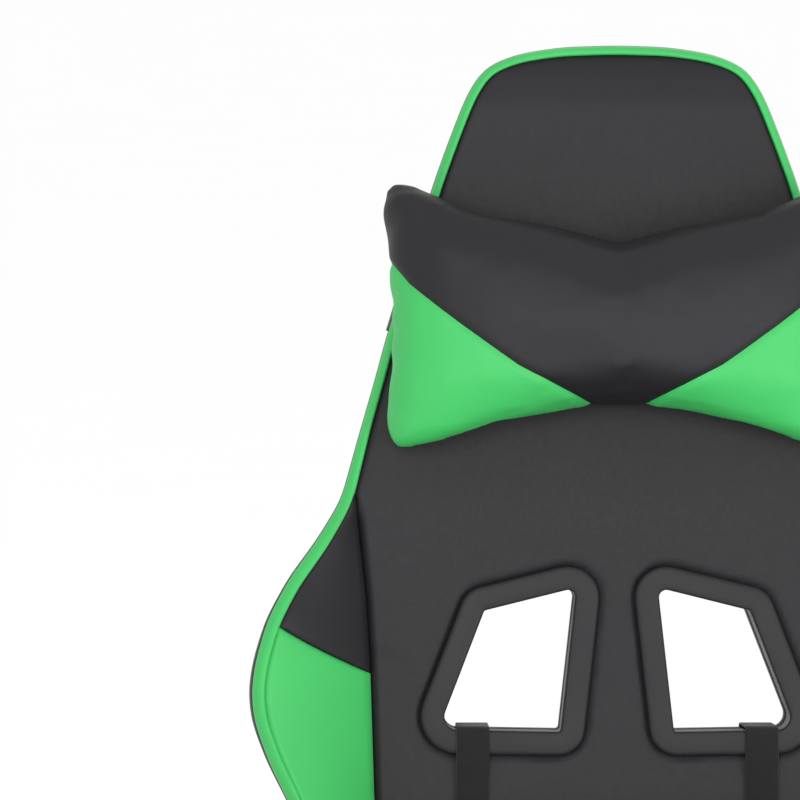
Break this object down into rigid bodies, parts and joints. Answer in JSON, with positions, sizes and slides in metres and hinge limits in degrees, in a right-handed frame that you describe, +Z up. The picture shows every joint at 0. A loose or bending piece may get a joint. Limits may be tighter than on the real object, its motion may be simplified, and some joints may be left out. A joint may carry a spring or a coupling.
{
  "type": "gaming chair",
  "caption": "Reclining gaming chair with a winged back, head and lumbar pillows, height-adjustable armrests, rocking seat, gas lift and a five-star base on twin-wheel casters.",
  "frame": {"origin": "on the floor under the centre of the lift column", "axes": "+Z up; the chair faces -Y; +X is the sitter's left"},
  "size_m": [0.7464, 0.7618, 1.218],
  "materials": {
    "black_nylon": "satin",
    "wheel_nylon": "satin",
    "grey_plastic": "satin",
    "grip_plastic": "matte",
    "black_steel": "satin",
    "chrome": "polished",
    "bare_steel": "satin",
    "black_upholstery": "satin",
    "green_upholstery": "satin",
    "webbing": "matte",
    "soft_pad": "matte"
  },
  "bodies": {
    "base": {"star_base": "black_nylon", "gas_lift_outer_tube": "black_steel", "gas_lift_guide_sleeve": "grey_plastic", "cover_lower": "black_nylon"},
    "caster_1_swivel_body": {"caster_1_fork": "black_nylon"},
    "caster_1_wheel_body": {"caster_1_wheels": "wheel_nylon"},
    "caster_2_swivel_body": {"caster_2_fork": "black_nylon"},
    "caster_2_wheel_body": {"caster_2_wheels": "wheel_nylon"},
    "caster_3_swivel_body": {"caster_3_fork": "black_nylon"},
    "caster_3_wheel_body": {"caster_3_wheels": "wheel_nylon"},
    "caster_4_swivel_body": {"caster_4_fork": "black_nylon"},
    "caster_4_wheel_body": {"caster_4_wheels": "wheel_nylon"},
    "caster_5_swivel_body": {"caster_5_fork": "black_nylon"},
    "caster_5_wheel_body": {"caster_5_wheels": "wheel_nylon"},
    "lift_rod": {"gas_lift_rod": "chrome", "gas_lift_thrust_bearing": "bare_steel", "gas_lift_retaining_clip": "bare_steel"},
    "column": {"gas_lift_inner_tube": "chrome", "cover_upper": "black_nylon", "tilt_channel": "black_steel", "tilt_axle": "bare_steel"},
    "cover_middle_body": {"cover_middle": "black_nylon"},
    "valve_pin": {"gas_lift_valve_pin": "bare_steel"},
    "lever_pivot": {"lever_bush": "grey_plastic"},
    "height_lever": {"height_lever_rod": "black_steel", "height_lever_grip": "grip_plastic"},
    "seat": {"tilt_plate": "black_steel", "tension_spring": "bare_steel", "seat_frame": "black_steel", "seat_cushion": "black_upholstery", "side_bracket_left": "black_steel", "side_bracket_right": "black_steel", "recliner_cover_left": "black_nylon", "recliner_cover_right": "black_nylon", "armrest_bracket_left": "black_steel", "armrest_bracket_right": "black_steel"},
    "tension_knob_body": {"tension_knob": "black_nylon"},
    "recline_control": {"recline_shaft": "bare_steel", "recline_lever": "grip_plastic"},
    "back": {"back_frame": "black_steel", "back_cushion": "black_upholstery", "back_arm_left": "black_steel", "back_arm_right": "black_steel", "cutout_bezel_front_left": "grey_plastic", "cutout_bezel_front_right": "grey_plastic", "cutout_bezel_rear_left": "grey_plastic", "cutout_bezel_rear_right": "grey_plastic", "head_pillow": "black_upholstery", "head_pillow_strap": "webbing", "lumbar_pillow": "black_upholstery", "lumbar_strap_left": "webbing", "lumbar_strap_right": "webbing"},
    "armrest_left": {"armrest_post_left": "black_nylon", "armrest_pad_left": "soft_pad"},
    "armrest_left_button": {"armrest_button_left": "grey_plastic"},
    "armrest_right": {"armrest_post_right": "black_nylon", "armrest_pad_right": "soft_pad"},
    "armrest_right_button": {"armrest_button_right": "grey_plastic"}
  },
  "joints": [
    {"name": "caster_1_swivel", "type": "hinge", "parent": "base", "child": "caster_1_swivel_body", "pos_m": [0, -0.33, 0.08], "axis": [0, 0, 1], "continuous": true},
    {"name": "caster_1_roll", "type": "hinge", "parent": "caster_1_swivel_body", "child": "caster_1_wheel_body", "pos_m": [0, -0.348, 0.02942], "axis": [1, 0, 0], "continuous": true},
    {"name": "caster_2_swivel", "type": "hinge", "parent": "base", "child": "caster_2_swivel_body", "pos_m": [0.31385, -0.10198, 0.08], "axis": [0, 0, 1], "continuous": true},
    {"name": "caster_2_roll", "type": "hinge", "parent": "caster_2_swivel_body", "child": "caster_2_wheel_body", "pos_m": [0.33097, -0.10754, 0.02942], "axis": [0.309, 0.9511, 0], "continuous": true},
    {"name": "caster_3_swivel", "type": "hinge", "parent": "base", "child": "caster_3_swivel_body", "pos_m": [0.19397, 0.26698, 0.08], "axis": [0, 0, 1], "continuous": true},
    {"name": "caster_3_roll", "type": "hinge", "parent": "caster_3_swivel_body", "child": "caster_3_wheel_body", "pos_m": [0.20455, 0.28154, 0.02942], "axis": [-0.809, 0.5878, 0], "continuous": true},
    {"name": "caster_4_swivel", "type": "hinge", "parent": "base", "child": "caster_4_swivel_body", "pos_m": [-0.19397, 0.26698, 0.08], "axis": [0, 0, 1], "continuous": true},
    {"name": "caster_4_roll", "type": "hinge", "parent": "caster_4_swivel_body", "child": "caster_4_wheel_body", "pos_m": [-0.20455, 0.28154, 0.02942], "axis": [-0.809, -0.5878, 0], "continuous": true},
    {"name": "caster_5_swivel", "type": "hinge", "parent": "base", "child": "caster_5_swivel_body", "pos_m": [-0.31385, -0.10198, 0.08], "axis": [0, 0, 1], "continuous": true},
    {"name": "caster_5_roll", "type": "hinge", "parent": "caster_5_swivel_body", "child": "caster_5_wheel_body", "pos_m": [-0.33097, -0.10754, 0.02942], "axis": [0.309, -0.9511, 0], "continuous": true},
    {"name": "seat_swivel", "type": "hinge", "parent": "base", "child": "lift_rod", "pos_m": [0, 0, 0.15], "axis": [0, 0, 1], "continuous": true},
    {"name": "seat_lift", "type": "slide", "parent": "lift_rod", "child": "column", "axis": [0, 0, 1], "range_m": [0, 0.08]},
    {"name": "cover_middle_slide", "type": "slide", "parent": "base", "child": "cover_middle_body", "axis": [0, 0, 1], "range_m": [0, 0.04]},
    {"name": "valve_pin_slide", "type": "slide", "parent": "column", "child": "valve_pin", "axis": [0, 0, 1], "range_m": [-0.004, 0]},
    {"name": "height_lever_pull", "type": "hinge", "parent": "column", "child": "lever_pivot", "pos_m": [-0.03675, 0, 0.308], "axis": [0, 1, 0], "range_deg": [0, 4], "stiffness_Nm_per_rad": 20, "springref_deg": -2.86},
    {"name": "tilt_lock_slide", "type": "slide", "parent": "lever_pivot", "child": "height_lever", "axis": [-1, 0, 0], "range_m": [0, 0.012]},
    {"name": "seat_tilt", "type": "hinge", "parent": "column", "child": "seat", "pos_m": [0, -0.055, 0.296], "axis": [-1, 0, 0], "range_deg": [0, 12], "stiffness_Nm_per_rad": 150, "springref_deg": -14.32, "deforming": ["tension_spring"]},
    {"name": "tension_knob_turn", "type": "hinge", "parent": "seat", "child": "tension_knob_body", "pos_m": [0, -0.095, 0.22], "axis": [0, 0, 1], "range_deg": [-360, 360]},
    {"name": "recline_lever_pull", "type": "hinge", "parent": "seat", "child": "recline_control", "pos_m": [-0.248, 0.24, 0.425], "axis": [-1, 0, 0], "range_deg": [0, 25], "stiffness_Nm_per_rad": 3, "springref_deg": -17.19},
    {"name": "back_recline", "type": "hinge", "parent": "seat", "child": "back", "pos_m": [0, 0.24, 0.425], "axis": [-1, 0, 0], "range_deg": [-8, 57]},
    {"name": "armrest_left_height", "type": "slide", "parent": "seat", "child": "armrest_left", "axis": [0, 0, 1], "range_m": [0, 0.07]},
    {"name": "armrest_left_button_press", "type": "slide", "parent": "armrest_left", "child": "armrest_left_button", "axis": [-1, 0, 0], "range_m": [0, 0.003], "stiffness_N_per_m": 800, "springref_m": -0.002},
    {"name": "armrest_right_height", "type": "slide", "parent": "seat", "child": "armrest_right", "axis": [0, 0, 1], "range_m": [0, 0.07]},
    {"name": "armrest_right_button_press", "type": "slide", "parent": "armrest_right", "child": "armrest_right_button", "axis": [1, 0, 0], "range_m": [0, 0.003], "stiffness_N_per_m": 800, "springref_m": -0.002}
  ],
  "couplings": [
    {"joint": "cover_middle_slide", "follows": "seat_lift", "ratio": 0.5},
    {"joint": "valve_pin_slide", "follows": "height_lever_pull", "m_per_rad": -0.04}
  ]
}
